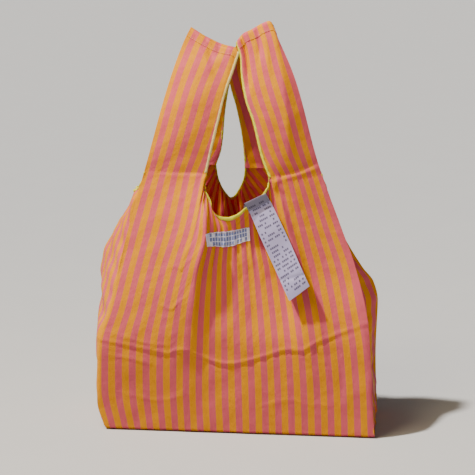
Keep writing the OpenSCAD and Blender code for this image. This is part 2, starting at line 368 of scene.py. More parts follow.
def link(piece):
    bpy.context.scene.collection.objects.link(piece)


def mesh_object(name, verts, faces, material, uvs=None):
    """A new object from points in millimetres; uvs holds one pair of cloth millimetres for each point."""
    mesh = bpy.data.meshes.new(name)
    mesh.from_pydata((np.asarray(verts, float) * MM).tolist(), [], [tuple(map(int, f)) for f in faces])
    mesh.materials.append(material)
    if uvs is not None:
        layer = mesh.uv_layers.new(name="cloth")
        index = np.zeros(len(mesh.loops), np.int32)
        mesh.loops.foreach_get("vertex_index", index)
        layer.data.foreach_set("uv", np.asarray(uvs, np.float32)[index].ravel())
    mesh.shade_smooth()
    piece = bpy.data.objects.new(name, mesh)
    link(piece)
    return piece


def rim_loop(rows, cols):
    """Numbers of the points round a grid's rim, in order."""
    k = np.arange(rows * cols).reshape(rows, cols)
    return np.concatenate([k[0, :-1], k[:-1, -1], k[-1, :0:-1], k[:0:-1, 0]])


def cloth_piece(name, p, n, uv, material, thickness=CLOTH_T):
    """A sheet of cloth as a thin closed solid over a grid, shaded with the grid's own normals."""
    rows, cols = p.shape[:2]
    count = rows * cols
    half = n * thickness / 2
    verts = np.concatenate([(p + half).reshape(-1, 3), (p - half).reshape(-1, 3)])
    top = grid_faces(rows, cols)
    under = top[:, ::-1] + count
    rim = rim_loop(rows, cols)
    following = np.roll(rim, -1)
    side = np.stack([rim, rim + count, following + count, following], axis=1)
    faces = np.concatenate([top, under, side])
    uvs = np.tile(uv.reshape(-1, 2), (2, 1))
    piece = mesh_object(name, verts, faces, material, uvs)
    flat_n = n.reshape(-1, 3)
    rim_n = np.zeros((side.size, 3))
    normals = np.concatenate([flat_n[top.ravel()], -flat_n[(under - count).ravel()], rim_n])
    piece.data.normals_split_custom_set(normals.tolist())
    return piece


def ring_faces(rings, around):
    """Quads of a tube of rings, with a cap at each end."""
    i, j = np.meshgrid(np.arange(rings - 1), np.arange(around), indexing="ij")
    a, b = i * around + j, i * around + (j + 1) % around
    faces = [tuple(f) for f in np.stack([a, b, b + around, a + around], axis=-1).reshape(-1, 4).tolist()]
    faces.append(tuple(range(around - 1, -1, -1)))
    faces.append(tuple(range((rings - 1) * around, rings * around)))
    return faces


def resample(points, spacing, *others):
    """Points spaced evenly along a polyline, the others sampled at the same places, and their lengths."""
    length = arc_lengths(points)
    count = max(int(round(length[-1] / spacing)), 2)
    at = np.linspace(0, length[-1], count + 1)
    return [sampled(at, length, a) for a in (points, *others)] + [at]


def unit(a):
    return a / np.maximum(np.linalg.norm(a, axis=-1, keepdims=True), 1e-9)


# ---- materials ----

class Nodes:
    """A short hand for building one material's nodes."""

    def __init__(self, name):
        self.material = bpy.data.materials.new(name)
        self.material.use_nodes = True
        self.tree = self.material.node_tree
        self.tree.nodes.clear()
        self.shader = self.add("ShaderNodeBsdfPrincipled")

    def add(self, kind, **settings):
        node = self.tree.nodes.new(kind)
        for key, value in settings.items():
            setattr(node, key, value)
        return node

    def link(self, source, target):
        if isinstance(source, (int, float, tuple)):
            target.default_value = source
        else:
            self.tree.links.new(source, target)

    def math(self, operation, a, b=0.0, c=0.0, clamp=False):
        node = self.add("ShaderNodeMath", operation=operation, use_clamp=clamp)
        for socket, value in zip(node.inputs, (a, b, c)):
            self.link(value, socket)
        return node.outputs[0]

    def wave(self, value, pitch):
        """A sine wave along value, one turn for each pitch."""
        return self.math("SINE", self.math("MULTIPLY", value, 2 * math.pi / pitch))

    def near(self, value, middle, reach):
        """1 where value is within reach of middle, else 0."""
        gap = self.math("ABSOLUTE", self.math("SUBTRACT", value, middle))
        return self.math("LESS_THAN", gap, reach)

    def cloth(self):
        """The cloth coordinates u and v, in millimetres."""
        uv = self.add("ShaderNodeUVMap", uv_map="cloth")
        split = self.add("ShaderNodeSeparateXYZ")
        self.link(uv.outputs[0], split.inputs[0])
        return uv.outputs[0], split.outputs[0], split.outputs[1]

    def noise(self, vector, scale, detail=2.0, stretch=None):
        if stretch:
            node = self.add("ShaderNodeMapping")
            node.inputs["Scale"].default_value = stretch
            self.link(vector, node.inputs["Vector"])
            vector = node.outputs[0]
        node = self.add("ShaderNodeTexNoise")
        node.inputs["Scale"].default_value = scale
        node.inputs["Detail"].default_value = detail
        self.link(vector, node.inputs["Vector"])
        return node.outputs["Fac"]

    def mix(self, factor, a, b, blend="MIX"):
        node = self.add("ShaderNodeMix", data_type="RGBA", blend_type=blend)
        self.link(factor, node.inputs[0])
        self.link(a, node.inputs[6])
        self.link(b, node.inputs[7])
        return node.outputs[2]

    def bump(self, height, distance, strength, under=None):
        node = self.add("ShaderNodeBump")
        node.inputs["Strength"].default_value = strength
        node.inputs["Distance"].default_value = distance
        self.link(height, node.inputs["Height"])
        if under is not None:
            self.link(under, node.inputs["Normal"])
        return node.outputs[0]

    def done(self, colour, normal, roughness, sheen=0.0, see_through=0.0):
        self.link(colour, self.shader.inputs["Base Color"])
        self.link(roughness, self.shader.inputs["Roughness"])
        self.shader.inputs["Sheen Weight"].default_value = sheen
        self.shader.inputs["Sheen Roughness"].default_value = 0.35
        if normal is not None:
            self.link(normal, self.shader.inputs["Normal"])
        result = self.shader.outputs[0]
        if see_through:
            glow = self.add("ShaderNodeBsdfTranslucent")
            self.link(colour, glow.inputs["Color"])
            both = self.add("ShaderNodeMixShader")
            both.inputs[0].default_value = see_through
            self.link(result, both.inputs[1])
            self.link(glow.outputs[0], both.inputs[2])
            result = both.outputs[0]
        out = self.add("ShaderNodeOutputMaterial")
        self.link(result, out.inputs[0])
        return self.material


ORANGE = (0.84, 0.38, 0.0, 1)
PINK = (0.75, 0.118, 0.20, 1)
DYE_UNEVEN = (0.60, 0.14, 0.0, 1)
DYE_SLUB = (1, 0.45, 0.0, 1)
YELLOW_YARN = (0.60, 0.58, 0.0, 1), (0.74, 0.72, 0.02, 1)
# Painted highlight: a paler copy of the yellow overlock, used on the left front handle's bound edge where the
# light falls.
PAINTED_LIT_YELLOW_YARN = (0.58, 0.46, 0.12, 1), (0.78, 0.70, 0.36, 1)
CREAM_YARN = (0.78, 0.50, 0.26, 1), (0.85, 0.66, 0.40, 1)
WOVEN_COLOURS = (0.74, 0.75, 0.95, 1), (0.006, 0.045, 0.30, 1)
CARE_COLOURS = (0.36, 0.325, 0.56, 1), (0.02, 0.012, 0.05, 1)
WORN_LABEL = (0.55, 0.55, 0.62, 1)
WARP_PITCH, WEFT_PITCH = 0.45, 1.08
LABEL_WEAVE = 0.5


def striped_cloth(name, offset, see_through=0.34):
    """Thin plain-woven nylon: orange and pink stripes along v, a fine weave, soft storage wrinkles. offset
    moves the stripes across, in millimetres, and see_through is how much light the cloth lets through."""
    n = Nodes(name)
    vector, u, v = n.cloth()
    wander = n.math("MULTIPLY_ADD", n.noise(vector, 0.35), 0.5, -0.25)
    across = n.math("ADD", n.math("ADD", u, HALF + offset), wander)
    phase = n.math("FRACT", n.math("DIVIDE", across, 2 * STRIPE))
    from_middle = n.math("ABSOLUTE", n.math("SUBTRACT", phase, 0.5))
    stripe = n.math("MULTIPLY_ADD", n.math("SUBTRACT", from_middle, 0.25), 42.0, 0.5, clamp=True)
    colour = n.mix(stripe, ORANGE, PINK)
    uneven = n.noise(vector, 0.05, 3.0)
    colour = n.mix(n.math("MULTIPLY", uneven, 0.22), colour, DYE_UNEVEN)
    slub = n.noise(vector, 1.0, stretch=(2.2, 0.06, 1))
    slub = n.math("MULTIPLY", n.math("SUBTRACT", slub, 0.45), 0.4, clamp=True)
    colour = n.mix(slub, colour, DYE_SLUB)
    weave = n.math("MULTIPLY", n.wave(u, WARP_PITCH), n.wave(v, WEFT_PITCH))
    normal = n.bump(n.noise(vector, 0.045, 4.0), 0.0035, 0.55)
    normal = n.bump(n.noise(vector, 0.16, 3.0, stretch=(1.0, 0.45, 1)), 0.0010, 0.45, normal)
    normal = n.bump(weave, 0.00006, 0.5, normal)
    shine = n.math("MULTIPLY_ADD", uneven, 0.18, 0.36)
    n.shader.inputs["Specular IOR Level"].default_value = 0.12
    return n.done(colour, normal, shine, see_through=see_through)


def yarn(name, colour, pale):
    """Sewing or overlock yarn with fine slanted loops."""
    n = Nodes(name)
    vector, u, v = n.cloth()
    loops = n.math("SINE", n.math("MULTIPLY_ADD", u, 2 * math.pi / 1.9, n.math("MULTIPLY", v, 1.3)))
    fluff = n.math("MULTIPLY", n.noise(vector, 0.9, 4.0), 0.55)
    shade = n.mix(n.math("MULTIPLY_ADD", loops, 0.22, fluff, clamp=True), colour, pale)
    normal = n.bump(loops, 0.00035, 0.7)
    normal = n.bump(n.wave(u, 0.62), 0.00012, 0.5, normal)
    return n.done(shade, normal, 0.62, 0.1)


def marked_label(name, colours, grid, size, fill, weight, crumple, dark_top=0.0):
    """A label with rows of small dashes that spell nothing. grid is its columns and rows of dashes, size
    its width and height in cloth millimetres, fill the share of dashes there, weight half a dash's height
    in rows, crumple the scale of its creases and dark_top the height of a shaded top."""
    n = Nodes(name)
    base, ink = colours
    vector, u, v = n.cloth()
    cell = n.math("DIVIDE", u, size[0] / grid[0])
    row = n.math("DIVIDE", v, size[1] / grid[1])
    where = n.add("ShaderNodeCombineXYZ")
    n.link(n.math("FLOOR", cell), where.inputs[0])
    n.link(n.math("FLOOR", row), where.inputs[1])
    pick = n.add("ShaderNodeTexWhiteNoise", noise_dimensions="2D")
    n.link(where.outputs[0], pick.inputs["Vector"])
    mark = n.math("LESS_THAN", pick.outputs["Value"], fill)
    for inside in (
        n.near(n.math("FRACT", row), 0.5, weight),
        n.near(n.math("FRACT", cell), 0.5, 0.40),
        n.near(u, size[0] / 2, size[0] * 0.44),
        n.near(v, size[1] / 2, size[1] * 0.46),
    ):
        mark = n.math("MULTIPLY", mark, inside)
    worn = n.noise(vector, 1.6, 3.0)
    mark = n.math("MULTIPLY", mark, n.math("MULTIPLY_ADD", worn, 0.9, 0.35, clamp=True))
    colour = n.mix(n.math("MULTIPLY", worn, 0.12), base, WORN_LABEL)
    # Painted shade: the top dark_top millimetres of the label are darkened in its colour, where it comes over
    # the neck.
    in_shade = n.math("GREATER_THAN", v, size[1] - dark_top)
    colour = n.mix(n.math("MULTIPLY", in_shade, 0.62), colour, (0.05, 0.045, 0.05, 1))
    colour = n.mix(mark, colour, ink)
    weave = n.math("MULTIPLY", n.wave(u, LABEL_WEAVE), n.wave(v, LABEL_WEAVE))
    normal = n.bump(n.noise(vector, crumple, 3.0), 0.0012, 0.5)
    normal = n.bump(weave, 0.00006, 0.4, normal)
    return n.done(colour, normal, 0.48, 0.15, 0.1)


def floor_material():
    n = Nodes("studio_floor")
    where = n.add("ShaderNodeTexCoord")
    grain = n.noise(where.outputs["Object"], 9.0, 3.0)
    colour = n.mix(grain, (0.43, 0.435, 0.445, 1), (0.45, 0.455, 0.46, 1))
    return n.done(colour, None, 0.7)


# ---- the panels ----

def crease_at(crease, z, axis):
    """Where a side crease stands across (axis 0) or in depth (axis 1) at height z."""
    points = np.asarray(crease, float)
    return np.interp(z, points[:, 2], points[:, axis])


def front_across(u, z):
    """Where the front's thread u stands across at height z."""
    rows = [spline(u, THREADS, row) for row in ACROSS]
    return spline(z, HEIGHTS, rows)


def belly(u, z):
    """How far the front swells forward: a low tent whose ridge is the storage crease."""
    crest = np.interp(u, STORAGE_CREASE_U, STORAGE_CREASE_V)
    left = 1 - smooth_step(u, -80, -40)
    rise = np.where(z < crest, z / crest, np.clip(1 - (z - crest) / 75, 0, 1))
    return (3.0 + 4.0 * left) * rise


def front_depth(u, z):
    """Depth of the front at height z: the leaning plane, its folds by the neck, its turned right side."""
    plane = panel_y(z)
    folds = np.interp(u, FOLD_THREADS, FOLD_DEPTHS) * smooth_step(z, 98, 250)
    hang = NECK_FORWARD * bell(u, 84, 4) * smooth_step(z, 120, 316)
    turn = crease_at(RIGHT_CREASE, z, 1) - plane
    return plane + folds - belly(u, z) - hang + turn * smooth_step(u, 85, HALF) ** 0.8


def back_across(u, z):
    """The same for the back, whose threads draw together towards its neckline."""
    a, b = crease_at(BACK_LEFT_CREASE, z, 0), crease_at(BACK_RIGHT_CREASE, z, 0)
    t = (u + HALF) / (2 * HALF)
    gather = smooth_step(z, 150, 330)
    centre = (-22 - (a + b) / 2) * gather * bell(u, 90)
    return a + t * (b - a) + centre - u * 0.35 * gather * bell(u, 70)


def back_depth(u, z):
    plane = -panel_y(z)
    folds = 4 * np.cos(u * 2 * math.pi / 62) * bell(u, 90) * smooth_step(z, 120, 300)
    centre_crease = 5 * np.exp(-np.abs(u) / 14) * smooth_step(z, 20, 200)
    swell = 3 * np.sin(math.pi * np.clip(z / 300, 0, 1))
    turn = crease_at(BACK_RIGHT_CREASE, z, 1) - plane
    return plane + folds + centre_crease + swell + turn * smooth_step(u, 85, HALF)


def gathered(uv, gather):
    """The cut with its neckline drawn in: u is squeezed by gather at the cut edge, and less below it."""
    centre = bell(np.maximum(np.abs(uv[..., 0]) - 60, 0), 30)
    fade = (1 - smooth_step(below_cut(uv), 0, 55)) * centre
    squeeze = 1 - (1 - gather) * np.clip(fade, 0, 1)
    steps = np.diff(uv[..., 0], axis=1) * (squeeze[:, 1:] + squeeze[:, :-1]) / 2
    u = np.concatenate([uv[:, :1, 0], uv[:, :1, 0] + np.cumsum(steps, axis=1)], axis=1)
    flat = np.stack([u, uv[..., 1], np.zeros_like(u)], axis=2)
    flat[LOW:, :, 0] = uv[LOW:, :, 0]
    return flat


def ripples(uv, seed, height):
    """Small starting folds that fan down from the neckline."""
    u, below = uv[..., 0], below_cut(uv)
    fine = np.sin(u * 2 * math.pi / 17 + 0.8) + 0.6 * np.sin(u * 2 * math.pi / 11.3)
    coarse = np.sin(u * 2 * math.pi / 34 + 2.0 + seed)
    near = np.exp(-np.maximum(below, 0) / PUCKER) * smooth_step(below, -1, 9)
    far = bell(np.maximum(below, 0), 120) * smooth_step(below, 0, 40)
    return height * bell(u, 105, 4) * (0.4 * near * fine + 0.12 * far * coarse)


def held_points(rows, cols):
    """1 where the cloth may move: not at the base, the creases, the bound edges or the handles' tops."""
    free = np.ones((rows, cols))
    free[[0, -1]] = 0
    free[:, [0, -1]] = 0
    free[BODY_ROWS, NECK_START:NECK_END + 1] = 0
    free[BODY_ROWS:, [NECK_START, NECK_END]] = 0
    return free


def distance_to(path, uv):
    """Distance over the cloth from each point to a polyline, and how far along it the nearest point is."""
    path = np.asarray(path, float)
    best = np.full(uv.shape[:2], 1e9)
    share = np.zeros(uv.shape[:2])
    length = arc_lengths(path)
    for k, (a, b) in enumerate(zip(path[:-1], path[1:])):
        d = b - a
        t = np.clip(((uv - a) @ d) / (d @ d), 0, 1)
        gap = np.linalg.norm(uv - a - t[..., None] * d, axis=2)
        nearer = gap < best
        best = np.where(nearer, gap, best)
        at = (length[k] + t * (length[k + 1] - length[k])) / length[-1]
        share = np.where(nearer, at, share)
    return best, share


def wrinkled(p, n, uv, wrinkles):
    """Presses narrow wrinkles into the cloth: each has a path, a width, and a height (inwards below 0)."""
    offset = np.zeros(uv.shape[:2])
    for path, width, height in wrinkles:
        gap, share = distance_to(path, uv)
        fade = np.sqrt(np.clip(np.sin(math.pi * np.clip(share, 0.02, 0.98)), 0, 1))
        offset += height * np.exp(-gap / width) * fade
    return p + n * offset[..., None]


FRONT_WRINKLES = [
    ([(-230, 148), *zip(STORAGE_CREASE_U, STORAGE_CREASE_V), (230, 178)], 1.9, 2.0),
    ([(-230, 142), (-123, 120), (-20, 103), (86, 117), (124, 139), (230, 172)], 2.0, -0.8),
    ([(-78, 335), (-63, 240), (-66, 118)], 3.0, 1.6),
    ([(104, 388), (110, 335), (118, 275), (126, 205), (130, 158), (134, 112)], 3.0, 2.2),
    ([(112, 388), (121, 335), (130, 275), (137, 205)], 5.0, -2.6),
    ([(101, 392), (112, 380), (120, 366)], 2.0, 3.0),
    ([(103, 370), (112, 382), (121, 398)], 1.8, 2.6),
    ([(112, 126), (117, 137), (120, 146)], 2.0, 1.6),
    ([(126, 150), (121, 140), (117, 124)], 2.0, -1.4),
    ([(-180, 150), (-130, 136), (-95, 133)], 2.2, 1.3),
    ([(-190, 118), (-150, 112), (-110, 101)], 2.4, 1.1),
    ([(-128, 196), (-104, 188), (-82, 190)], 1.9, 1.2),
    ([(-120, 254), (-98, 246), (-84, 249)], 1.9, 1.1),
    ([(-58, 120), (-64, 150), (-66, 200)], 2.6, 1.4),
    ([(8, 306), (14, 270), (16, 225)], 3.0, -2.4),
    ([(30, 308), (36, 268), (34, 236)], 3.0, 1.8),
    ([(-40, 309), (-44, 262), (-40, 190)], 3.2, 1.6),
    ([(60, 300), (84, 240), (100, 196), (104, 160)], 3.4, 2.0),
    ([(-198, 388), (-150, 386), (-102, 385)], 2.4, 1.0),
    ([(106, 383), (150, 390), (196, 400)], 2.4, 2.6),
    ([(106, 390), (150, 397), (196, 407)], 4.2, -3.2),
    ([(128, 640), (127, 600), (124, 560), (120, 530)], 3.6, -9.0),
    ([(119, 640), (118, 600), (116, 550)], 3.0, 3.0),
    ([(137, 640), (136, 600), (132, 560)], 5.0, 3.0),
    ([(186, 600), (180, 540), (166, 470), (150, 410)], 16.0, 5.0),
    ([(-124, 600), (-116, 540), (-111, 480), (-106, 420)], 20.0, 6.0),
    ([(160, 612), (156, 590), (150, 568)], 4.5, -4.0),
    ([(168, 612), (166, 580), (160, 540)], 5.0, 2.4),
    ([(-183, 600), (-160, 578), (-140, 556)], 3.5, 2.6),
    ([(-176, 612), (-158, 592), (-146, 580)], 3.2, -3.0),
    ([(-150, 612), (-144, 596), (-140, 584)], 3.0, -2.2),
    ([(-165, 612), (-163, 596), (-158, 586)], 3.0, 2.0),
    ([(-130, 612), (-128, 598), (-122, 588)], 3.0, 1.6),
    ([(-170, 60), (-120, 48), (-70, 54)], 4.0, 0.9),
    ([(20, 40), (80, 52), (150, 46)], 4.0, 0.8),
    ([(150, 130), (156, 90), (150, 50)], 3.4, -1.2),
]
BACK_WRINKLES = [
    ([(-HALF, 168), (-60, 150), (40, 152), (HALF, 170)], 2.6, -1.6),
    ([(0, 320), (2, 200), (0, 60)], 2.8, 2.4),
    ([(-60, 320), (-70, 240), (-66, 160)], 3.4, -1.8),
    ([(62, 320), (74, 240), (70, 150)], 3.4, 1.8),
    ([(-190, 380), (-150, 384), (-105, 388)], 2.4, -1.6),
    ([(104, 388), (150, 392), (197, 390)], 2.4, -1.6),
    ([(-150, 90), (-90, 70), (-20, 76)], 3.2, -1.2),
    ([(40, 90), (100, 60), (170, 66)], 3.2, 1.0),
]


def fold_room(uv, share):
    """How much of the spare length shows as folds: share of it below the neckline, little elsewhere."""
    below = below_cut(uv)
    near = np.exp(-np.maximum(below, 0) / PUCKER) * smooth_step(below, -1, 2)
    return 0.05 + share * bell(uv[..., 0], 92, 4) * near


def turn_under(p, uv, outward_y):
    """Curls the lowest edge of a panel under the bag."""
    low = np.clip(uv[..., 1] / UNDER, 0, 1)
    p = p.copy()
    p[..., 1] -= outward_y * (5.5 * (1 - low) ** 2 - 1.5 * np.sin(math.pi * low))
    return p


def make_panel(uv, live, guide, wrinkles, seed, gather, folds, outward):
    """Hangs and settles one panel. gather is how far its neckline is drawn in, folds how much of that shows
    as folds, and outward 1 where the grid's own normals face out of the bag, else -1."""
    p = guide + grid_normals(guide, live) * (ripples(uv, seed, 10 * folds) * outward)[..., None]
    free = held_points(*uv.shape[:2])
    hold = np.full(uv.shape[:2], HOLD_BODY)
    hold[LOW:] = HOLD_HANDLE
    p = relax(p, gathered(uv, gather), free, hold, PANEL_ROUNDS, live, fold_room(uv, folds))
    n = grid_normals(p, live)
    fuss = noise(uv, seed + 11, 18, 60) * 0.28 + noise(uv, seed + 5, 60, 160) * 0.45
    p = p + n * (fuss * free * live)[..., None]
    p = wrinkled(p, n * outward, uv, wrinkles)
    return p, grid_normals(p, live)


# ---- gussets, linings and base ----

GUSSET_COLS = 20        # columns in half a gusset
NOTCH_V = 350.0         # lowest point of the notch at a gusset's top
LEFT_PLEAT = [
    (-197, 0, 0), (-212, 0, 100), (-213, -2, 200), (-208, -2, 245), (-185, -2, 292), (-157, 0, 346),
]
RIGHT_PLEAT = [(195, 0, 0), (172, 6, 90), (150, 8, 170), (110, 8, 250), (96, 4, 300), (92, 0, 346)]


def gusset_cut():
    """Cloth coordinates of a gusset: w across from its middle fold, v up; its top edge is the notch."""
    w = np.linspace(-PLEAT, PLEAT, 2 * GUSSET_COLS + 1)
    top = NOTCH_V + (SPLIT_V - NOTCH_V) * (np.abs(w) / PLEAT) ** 1.8
    level = np.linspace(0, 1, LOW)[:, None] * SPLIT_V
    v = np.where(level < FOLD_H, level, FOLD_H + (level - FOLD_H) / (SPLIT_V - FOLD_H) * (top - FOLD_H))
    return np.stack([np.broadcast_to(w, v.shape), v], axis=2)


def make_gusset(uv, front, back, pleat, bulge, seed):
    """A side pleat between a front and a back crease column; bulge is how far each half bows outwards."""
    rows, cols = uv.shape[:2]
    w, v = uv[..., 0], uv[..., 1]
    heights = np.linspace(0, SPLIT_V, rows)
    p = np.zeros((rows, cols, 3))
    for j in range(cols):
        t = abs(w[0, j]) / PLEAT
        at_crease = sampled(v[:, j], heights, front if w[0, j] < 0 else back)
        at_middle = along(pleat, np.clip(v[:, j] / NOTCH_V, 0, 1))
        p[:, j] = at_crease * t + at_middle * (1 - t)
        bow = math.sin(math.pi * t) * bulge * smooth_step(v[:, j], 0, 120)
        p[:, j, 0] += bow * np.sign(pleat[0][0])
    free = np.ones((rows, cols))
    free[0] = free[:, 0] = free[:, -1] = 0
    p = p + grid_normals(p) * (2.0 * noise(uv, seed, 30, 80) * free)[..., None]
    flat = np.concatenate([uv, np.zeros((rows, cols, 1))], axis=2)
    even = np.ones((rows, cols))
    p = relax(p, flat, free, HOLD_GUSSET * even, GUSSET_ROUNDS, even, 0.15 * even)
    p = p + grid_normals(p) * (0.5 * noise(uv, seed + 3, 14, 50) * free)[..., None]
    return p, grid_normals(p)


def make_lining(p, n, uv, inward):
    """A handle's lining: it follows the outer layer a little inside it."""
    gap = 1.3 + 0.5 * noise(uv, 41, 25, 60)
    lining = p + n * (inward * gap)[..., None]
    return lining, grid_normals(lining)


def base_sheet(front_edge, back_edge):
    """The base: a flat sheet that lies on the floor between the panels' lower edges, a little slack."""
    t = np.linspace(0, 1, 40)[:, None]
    p = front_edge * (1 - t[..., None]) + back_edge * t[..., None]
    u = np.broadcast_to(front_edge[:, 0], p.shape[:2])
    uv = np.stack([u, np.broadcast_to((t - 0.5) * 2 * PLEAT, u.shape)], axis=2)
    inside = np.sin(math.pi * t) * np.clip((HALF - np.abs(u)) / 20, 0, 1)
    p[..., 2] = 0.5 + inside * (0.7 + 0.6 * noise(uv, 8, 30, 90)).clip(0, 2)
    return p, uv


# ---- bound edges, seams and stitches ----

SWEEP_AROUND, SWEEP_INSET = 12, 0.3     # points round an edge's roll, and the share of it outside the edge


def sweep(name, centre, side, normal, size, material, loops=2.2, depth=0.13):
    """A rolled and overlocked edge along centre. side points from the edge into the cloth, size is its
    width and thickness, loops the pitch of its loops of yarn and depth how far they swell it."""
    width, thick = size
    c, s, n, at = resample(centre, 0.75, side, normal)
    s, n = unit(s), unit(n)
    angle = np.linspace(0, 2 * math.pi, SWEEP_AROUND, endpoint=False)
    twist = at[:, None] * 2 * math.pi / loops + 1.4 * angle[None, :]
    swell = 1 + depth * np.sin(twist) + 0.05 * np.sin(at[:, None] * 2 * math.pi / 9.7)
    a = np.cos(angle)[None, :] * swell * width / 2 + width / 2 - SWEEP_INSET * width
    b = np.sin(angle)[None, :] * swell * thick / 2
    verts = c[:, None] + a[..., None] * s[:, None] + b[..., None] * n[:, None]
    uv = np.stack([at[:, None] + 0 * a, angle[None, :] * width / 2 + 0 * a], axis=2)
    faces = ring_faces(len(c), SWEEP_AROUND)
    return mesh_object(name, verts.reshape(-1, 3), faces, material, uv.reshape(-1, 2))


def stitches(name, path, normal, material, pitch, length, radius, lift, zigzag=0.0):
    """A row of separate stitches along a path, each a rounded yarn that dips into the cloth at its ends."""
    p, n, at = resample(path, 0.5, normal)
    verts, faces, uvs = [], [], []
    around, rings = 6, 7
    angle = np.linspace(0, 2 * math.pi, around, endpoint=False)
    shape = np.sin(np.linspace(0.12, math.pi - 0.12, rings))
    count = int(at[-1] // pitch)
    for k in range(count):
        middle = (k + 0.5) * at[-1] / count
        t = middle + np.linspace(-length / 2, length / 2, rings)
        centre = sampled(t, at, p)
        up = unit(sampled(t, at, n))
        ahead = unit(np.gradient(centre, axis=0))
        over = unit(np.cross(up, ahead))
        slant = (zigzag * np.linspace(-1, 1, rings))[:, None] * (-1) ** k
        centre = centre + up * (lift * shape)[:, None] + over * slant
        ring = np.cos(angle)[None, :, None] * over[:, None] + np.sin(angle)[None, :, None] * up[:, None]
        first = k * rings * around
        verts.append((centre[:, None] + ring * (radius * shape ** 0.4)[:, None, None]).reshape(-1, 3))
        uvs.append(np.stack([np.repeat(t, around), np.tile(angle, rings)], axis=1))
        faces += [tuple(first + i for i in f) for f in ring_faces(rings, around)]
    return mesh_object(name, np.concatenate(verts), faces, material, np.concatenate(uvs))


CAP_ROWS = 6            # rows of the handles' grid that the folded top seam covers


def handle_cap(front, front_n, back, back_n, uv, seed):
    """A handle's top seam: one strip of cloth folded over the top edge and puckered by its stitching."""
    columns = front.shape[1]
    share = np.linspace(0, 1, columns)
    pucker = 0.30 * np.sin(share * 2 * math.pi * 11 + seed) + 0.22 * np.sin(share * 2 * math.pi * 19)
    raised = (0.5 + 0.6 * pucker)[:, None]
    rows = [front[-CAP_ROWS + k] + front_n[-CAP_ROWS + k] * raised for k in range(CAP_ROWS - 1)]
    middle = (front[-1] + back[-1]) / 2 + np.array([0, 0, 0.8])
    shoulders = [a[-1] * 0.75 + middle * 0.25 + n[-1] * 0.7 for a, n in ((front, front_n), (back, back_n))]
    rows += [shoulders[0], middle, shoulders[1]]
    rows += [back[-k] + back_n[-k] * raised for k in range(2, CAP_ROWS + 1)]
    p = np.array(rows)
    v = arc_lengths(p[:, columns // 2])[:, None] + TOP_V - 12 + 0 * share
    u = np.broadcast_to(uv[-1, :, 0], v.shape)
    return p, np.stack([u, v], axis=2)


def joined(name, parts):
    """Several new objects joined into one piece, with their materials."""
    for part in parts:
        part.select_set(True)
    bpy.context.view_layer.objects.active = parts[0]
    with bpy.context.temp_override(active_object=parts[0], selected_editable_objects=parts):
        bpy.ops.object.join()
    parts[0].name = name
    parts[0].data.name = name
    parts[0].select_set(False)
    return parts[0]


# ---- labels ----

OFF_CLOTH_Y = -45.0     # depth taken where a label reaches past the cloth


def cloth_front(p, live):
    """A search tree of a panel's surface, for finding how deep the cloth is at a front-view point."""
    faces = grid_faces(*p.shape[:2])
    faces = faces[live.ravel()[faces].all(axis=1)]
    return BVHTree.FromPolygons(p.reshape(-1, 3).tolist(), faces.tolist())


def depths(tree, x, z):
    """Depths of the cloth behind a grid of points of the front view."""
    def depth(a, b):
        hit = tree.ray_cast(Vector((a, -400, b)), Vector((0, 1, 0)))[0]
        return hit.y if hit else OFF_CLOTH_Y
    return np.array([[depth(a, b) for a, b in zip(*row)] for row in zip(x, z)])


def blurred(a, rounds):
    """A grid of numbers smoothed with its neighbours."""
    for _ in range(rounds):
        padded = np.pad(a, 1, mode="edge")
        a = (padded[:-2, 1:-1] + padded[2:, 1:-1] + padded[1:-1, :-2] + padded[1:-1, 2:] + 2 * a) / 6
    return a


def over_cloth(raw, clearance, rounds):
    """Depths of a stiff strip over cloth whose depths are raw: taut across its folds, never inside it."""
    return blurred(np.minimum(blurred(raw, rounds), raw - clearance), 2)


def woven_label(tree):
    """The woven label by the neck: sewn on all round, puckered along its edges, its middle sagging."""
    w, h = WOVEN_SIZE
    u, v = np.meshgrid(np.linspace(0, w, 61), np.linspace(0, h, 21))
    a, b = u / w, v / h
    sag = -5.0 * np.sin(math.pi * a) ** 2 * (1 - 0.55 * b)
    x = WOVEN_LEFT + a * (WOVEN_RIGHT - WOVEN_LEFT) + 1.2 * (1 - b)
    z = WOVEN_BASE + b * h + (a - 0.3) * 4.5 + sag
    y = over_cloth(depths(tree, x, z), 0.55, 3)
    crinkle = 0.42 * np.sin(a * 47 + 3 * b) + 0.3 * np.sin(a * 83 + 5 * b + 1)
    crinkle += 0.2 * np.sin(a * 29 - 4 * b)
    rim = 1 - np.minimum(np.minimum(a, 1 - a) * 8, np.minimum(b, 1 - b) * 3).clip(0, 1)
    y = y + (crinkle - 0.5) * (0.45 + 0.7 * rim)
    p = np.stack([x, y, z], axis=2)
    return p, grid_normals(p), np.stack([u, v], axis=2)


